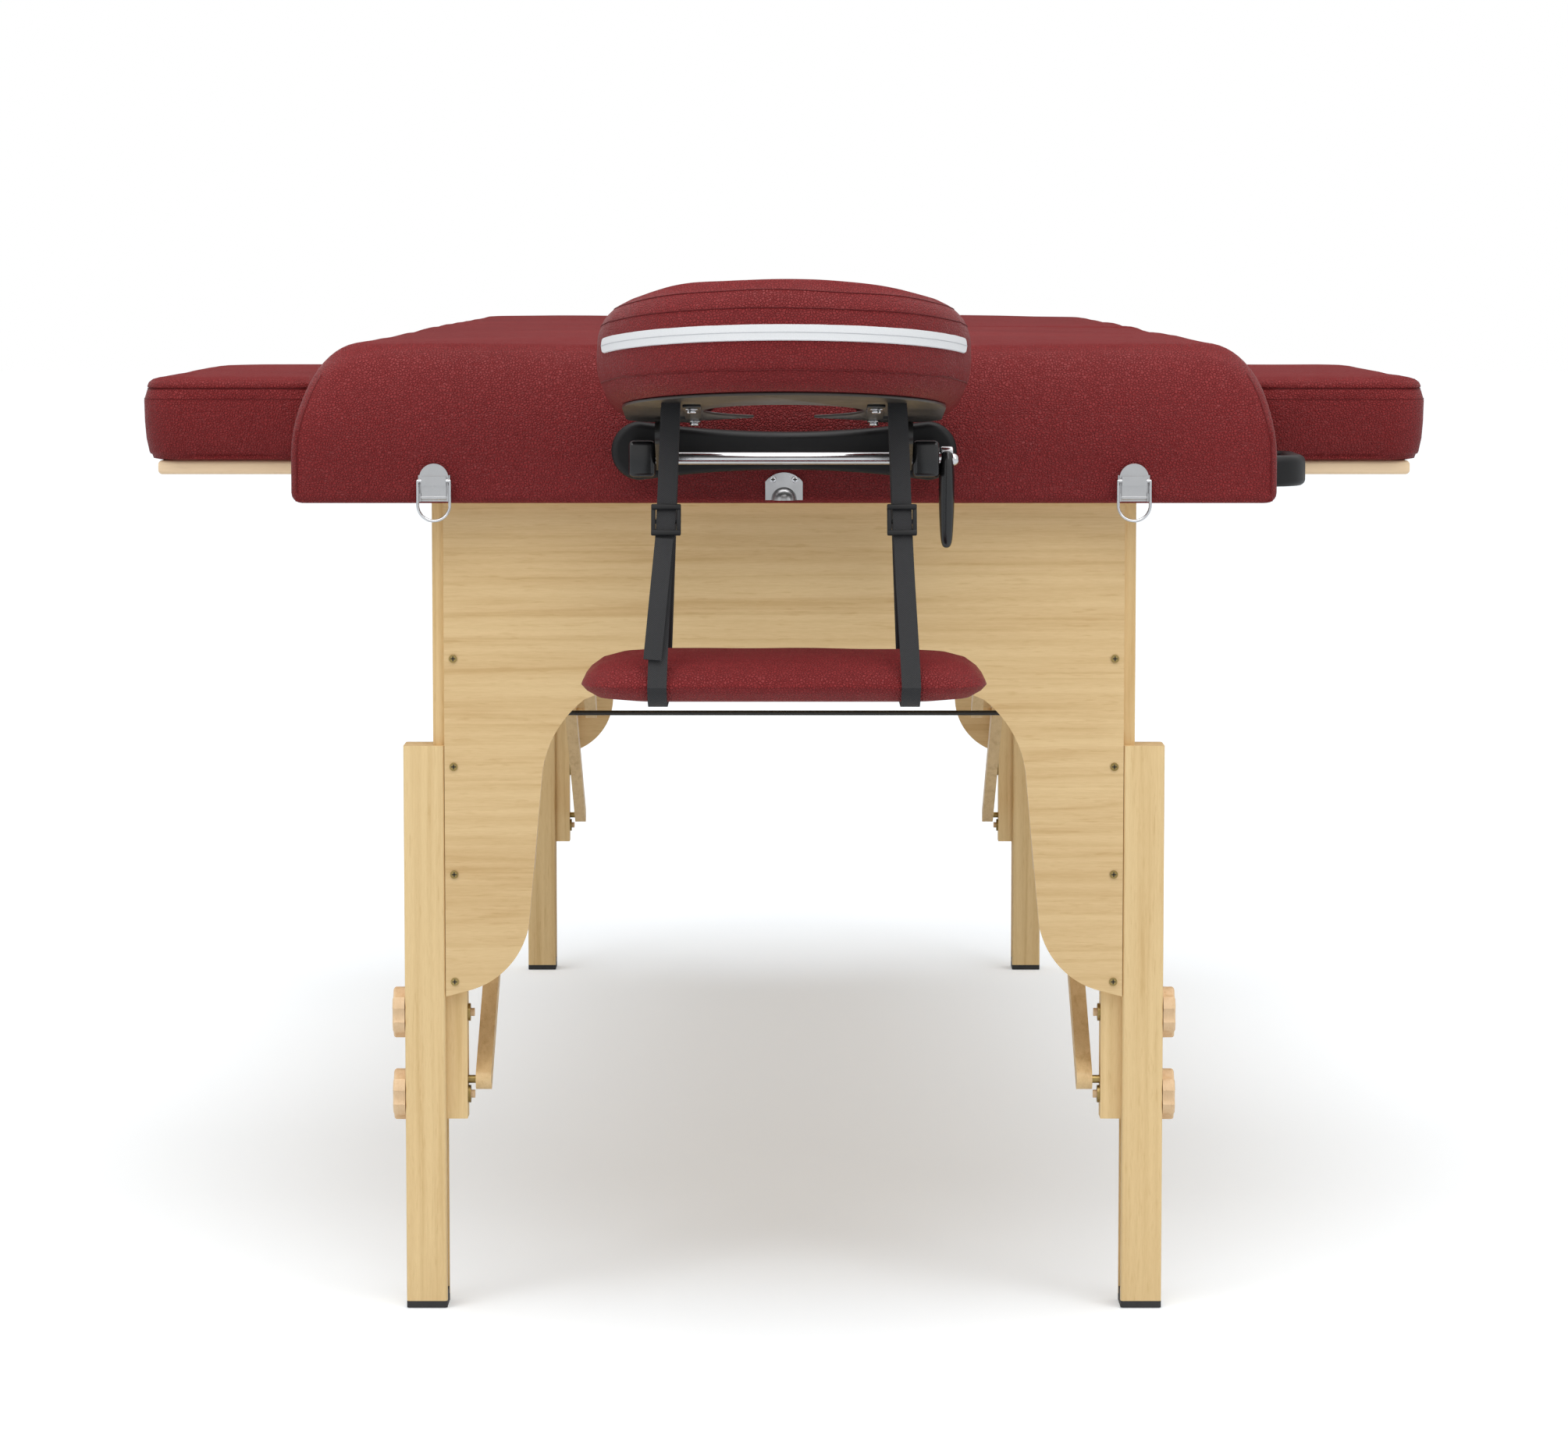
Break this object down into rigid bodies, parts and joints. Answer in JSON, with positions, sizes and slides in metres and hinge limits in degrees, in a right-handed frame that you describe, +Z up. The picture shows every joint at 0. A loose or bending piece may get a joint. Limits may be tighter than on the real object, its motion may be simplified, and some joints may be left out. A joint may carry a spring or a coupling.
{
  "type": "massage table",
  "caption": "Folding massage table with a crowned burgundy vinyl top, arched maple end panels, sliding legs, plug-in armrests, tilting face cradle and hanging arm shelf.",
  "frame": {"origin": "on the floor, under the middle of the whole object's bounding box", "axes": "+Z up, +Y along the table from the face cradle's end to the foot end, +X to the side with the carry handle"},
  "size_m": [0.996, 2.1453, 0.7551],
  "materials": {
    "maple_frame": "satin lacquered maple",
    "maple_leg": "satin lacquered maple, grain along the piece",
    "maple_panel": "satin lacquered maple plywood, grain across",
    "maple_knob": "satin turned maple",
    "maple_board": "satin pale maple",
    "plywood": "raw plywood",
    "vinyl_pad": "burgundy grained vinyl over foam",
    "vinyl_wrap": "burgundy grained vinyl, semi-matte",
    "black_rubber": "matte",
    "black_plastic": "satin moulded",
    "black_steel": "satin black paint",
    "black_webbing": "woven polyester webbing",
    "chrome_fittings": "bright plated",
    "brass_fittings": "dull brass plated"
  },
  "bodies": {
    "head_half": {"head_rails": "maple_frame", "head_deck": "plywood", "head_skirt": "vinyl_wrap", "head_cushion": "vinyl_pad", "head_hardware": "chrome_fittings", "carry_handle": "black_plastic"},
    "center_hinge": {"center_hinge_pins": "brass_fittings"},
    "foot_half": {"foot_rails": "maple_frame", "foot_deck": "plywood", "foot_skirt": "vinyl_wrap", "foot_cushion": "vinyl_pad", "foot_hardware": "chrome_fittings"},
    "head_legs": {"head_leg_posts": "maple_leg", "head_end_panel": "maple_panel", "head_leg_hardware": "brass_fittings"},
    "head_lower_struts": {"head_lower_struts": "maple_leg"},
    "head_upper_struts": {"head_upper_struts": "maple_leg", "head_tie_bar": "black_steel"},
    "head_left_leg": {"head_left_leg": "maple_leg", "head_left_foot": "black_rubber"},
    "head_left_low_knob": {"head_left_low_knob": "maple_knob"},
    "head_left_high_knob": {"head_left_high_knob": "maple_knob"},
    "head_right_leg": {"head_right_leg": "maple_leg", "head_right_foot": "black_rubber"},
    "head_right_low_knob": {"head_right_low_knob": "maple_knob"},
    "head_right_high_knob": {"head_right_high_knob": "maple_knob"},
    "foot_legs": {"foot_leg_posts": "maple_leg", "foot_end_panel": "maple_panel", "foot_leg_hardware": "brass_fittings"},
    "foot_lower_struts": {"foot_lower_struts": "maple_leg"},
    "foot_upper_struts": {"foot_upper_struts": "maple_leg", "foot_tie_bar": "black_steel"},
    "foot_left_leg": {"foot_left_leg": "maple_leg", "foot_left_foot": "black_rubber"},
    "foot_left_low_knob": {"foot_left_low_knob": "maple_knob"},
    "foot_left_high_knob": {"foot_left_high_knob": "maple_knob"},
    "foot_right_leg": {"foot_right_leg": "maple_leg", "foot_right_foot": "black_rubber"},
    "foot_right_low_knob": {"foot_right_low_knob": "maple_knob"},
    "foot_right_high_knob": {"foot_right_high_knob": "maple_knob"},
    "cradle_base": {"cradle_crossbar": "black_plastic", "cradle_rods": "chrome_fittings", "cradle_pivot_blocks": "black_plastic", "cradle_tie_rod": "chrome_fittings"},
    "cam_lever": {"cam_lever": "black_plastic"},
    "cradle_links": {"cradle_links": "black_steel"},
    "cradle_platform": {"cradle_platform": "black_plastic", "platform_brackets": "black_steel", "face_cushion": "vinyl_pad"},
    "arm_shelf": {"arm_shelf_pad": "vinyl_pad", "arm_shelf_straps": "black_webbing", "strap_buckles": "black_plastic"},
    "left_armrest": {"left_armrest_board": "maple_board", "left_armrest_pad": "vinyl_pad"},
    "left_latch_lever": {"left_latch_lever": "chrome_fittings"},
    "left_latch_bail": {"left_latch_bail": "chrome_fittings"},
    "right_armrest": {"right_armrest_board": "maple_board", "right_armrest_pad": "vinyl_pad"},
    "right_latch_lever": {"right_latch_lever": "chrome_fittings"},
    "right_latch_bail": {"right_latch_bail": "chrome_fittings"}
  },
  "joints": [
    {"name": "center_fold_foot", "type": "hinge", "parent": "center_hinge", "child": "foot_half", "pos_m": [0, 0.14225, 0.594], "axis": [-1, 0, 0], "range_deg": [0, 90]},
    {"name": "center_fold_head", "type": "hinge", "parent": "center_hinge", "child": "head_half", "pos_m": [0, 0.14225, 0.594], "axis": [1, 0, 0], "range_deg": [0, 90]},
    {"name": "head_leg_fold", "type": "hinge", "parent": "head_half", "child": "head_legs", "pos_m": [0, -0.75925, 0.601], "axis": [1, 0, 0], "range_deg": [0, 90]},
    {"name": "head_lower_strut_fold", "type": "hinge", "parent": "head_legs", "child": "head_lower_struts", "pos_m": [0, -0.74475, 0.168], "axis": [1, 0, 0], "range_deg": [0, 56.83]},
    {"name": "head_upper_strut_fold", "type": "hinge", "parent": "head_half", "child": "head_upper_struts", "pos_m": [0, 0.06075, 0.631], "axis": [-1, 0, 0], "range_deg": [0, 29.89]},
    {"name": "head_left_leg_slide", "type": "slide", "parent": "head_legs", "child": "head_left_leg", "axis": [0, 0, -1], "range_m": [-0.098, 0.142]},
    {"name": "head_left_low_knob_turn", "type": "hinge", "parent": "head_legs", "child": "head_left_low_knob", "pos_m": [-0.2786, -0.74475, 0.157], "axis": [-1, 0, 0], "continuous": true},
    {"name": "head_left_high_knob_turn", "type": "hinge", "parent": "head_legs", "child": "head_left_high_knob", "pos_m": [-0.2786, -0.74475, 0.218], "axis": [-1, 0, 0], "continuous": true},
    {"name": "head_right_leg_slide", "type": "slide", "parent": "head_legs", "child": "head_right_leg", "axis": [0, 0, -1], "range_m": [-0.098, 0.142]},
    {"name": "head_right_low_knob_turn", "type": "hinge", "parent": "head_legs", "child": "head_right_low_knob", "pos_m": [0.2786, -0.74475, 0.157], "axis": [1, 0, 0], "continuous": true},
    {"name": "head_right_high_knob_turn", "type": "hinge", "parent": "head_legs", "child": "head_right_high_knob", "pos_m": [0.2786, -0.74475, 0.218], "axis": [1, 0, 0], "continuous": true},
    {"name": "foot_leg_fold", "type": "hinge", "parent": "foot_half", "child": "foot_legs", "pos_m": [0, 1.04375, 0.601], "axis": [-1, 0, 0], "range_deg": [0, 90]},
    {"name": "foot_lower_strut_fold", "type": "hinge", "parent": "foot_legs", "child": "foot_lower_struts", "pos_m": [0, 1.02925, 0.168], "axis": [-1, 0, 0], "range_deg": [0, 56.83]},
    {"name": "foot_upper_strut_fold", "type": "hinge", "parent": "foot_half", "child": "foot_upper_struts", "pos_m": [0, 0.22375, 0.631], "axis": [1, 0, 0], "range_deg": [0, 29.89]},
    {"name": "foot_left_leg_slide", "type": "slide", "parent": "foot_legs", "child": "foot_left_leg", "axis": [0, 0, -1], "range_m": [-0.098, 0.142]},
    {"name": "foot_left_low_knob_turn", "type": "hinge", "parent": "foot_legs", "child": "foot_left_low_knob", "pos_m": [-0.2786, 1.02925, 0.157], "axis": [-1, 0, 0], "continuous": true},
    {"name": "foot_left_high_knob_turn", "type": "hinge", "parent": "foot_legs", "child": "foot_left_high_knob", "pos_m": [-0.2786, 1.02925, 0.218], "axis": [-1, 0, 0], "continuous": true},
    {"name": "foot_right_leg_slide", "type": "slide", "parent": "foot_legs", "child": "foot_right_leg", "axis": [0, 0, -1], "range_m": [-0.098, 0.142]},
    {"name": "foot_right_low_knob_turn", "type": "hinge", "parent": "foot_legs", "child": "foot_right_low_knob", "pos_m": [0.2786, 1.02925, 0.157], "axis": [1, 0, 0], "continuous": true},
    {"name": "foot_right_high_knob_turn", "type": "hinge", "parent": "foot_legs", "child": "foot_right_high_knob", "pos_m": [0.2786, 1.02925, 0.218], "axis": [1, 0, 0], "continuous": true},
    {"name": "cradle_slide", "type": "slide", "parent": "head_half", "child": "cradle_base", "axis": [0, -1, 0], "range_m": [0, 0.07]},
    {"name": "cam_lever_turn", "type": "hinge", "parent": "cradle_base", "child": "cam_lever", "pos_m": [0, -0.83175, 0.63], "axis": [-1, 0, 0], "range_deg": [0, 75]},
    {"name": "cradle_link_tilt", "type": "hinge", "parent": "cradle_base", "child": "cradle_links", "pos_m": [0, -0.83175, 0.63], "axis": [1, 0, 0], "range_deg": [-10, 20]},
    {"name": "cradle_platform_tilt", "type": "hinge", "parent": "cradle_links", "child": "cradle_platform", "pos_m": [0, -0.86975, 0.649], "axis": [1, 0, 0], "range_deg": [-15, 15]},
    {"name": "arm_shelf_swing", "type": "hinge", "parent": "cradle_platform", "child": "arm_shelf", "pos_m": [0, -0.98775, 0.66852], "axis": [1, 0, 0], "range_deg": [-15, 10]},
    {"name": "left_armrest_slide", "type": "slide", "parent": "head_half", "child": "left_armrest", "axis": [-1, 0, 0], "range_m": [0, 0.055]},
    {"name": "left_latch_open", "type": "hinge", "parent": "head_half", "child": "left_latch_lever", "pos_m": [-0.253, -0.78815, 0.6], "axis": [1, 0, 0], "range_deg": [0, 100]},
    {"name": "left_bail_swing", "type": "hinge", "parent": "left_latch_lever", "child": "left_latch_bail", "pos_m": [-0.253, -0.79085, 0.612], "axis": [-1, 0, 0], "range_deg": [0, 120]},
    {"name": "right_armrest_slide", "type": "slide", "parent": "head_half", "child": "right_armrest", "axis": [1, 0, 0], "range_m": [0, 0.055]},
    {"name": "right_latch_open", "type": "hinge", "parent": "head_half", "child": "right_latch_lever", "pos_m": [0.253, -0.78815, 0.6], "axis": [1, 0, 0], "range_deg": [0, 100]},
    {"name": "right_bail_swing", "type": "hinge", "parent": "right_latch_lever", "child": "right_latch_bail", "pos_m": [0.253, -0.79085, 0.612], "axis": [-1, 0, 0], "range_deg": [0, 120]}
  ],
  "couplings": [
    {"joint": "head_leg_fold", "follows": "center_fold_foot", "ratio": 1},
    {"joint": "foot_leg_fold", "follows": "center_fold_foot", "ratio": 1},
    {"joint": "head_lower_strut_fold", "follows": "center_fold_foot", "ratio": 0.63149},
    {"joint": "head_upper_strut_fold", "follows": "center_fold_foot", "ratio": 0.33211},
    {"joint": "foot_lower_strut_fold", "follows": "center_fold_foot", "ratio": 0.63149},
    {"joint": "foot_upper_strut_fold", "follows": "center_fold_foot", "ratio": 0.33211},
    {"joint": "left_bail_swing", "follows": "left_latch_open", "ratio": 1.2},
    {"joint": "right_bail_swing", "follows": "right_latch_open", "ratio": 1.2}
  ]
}
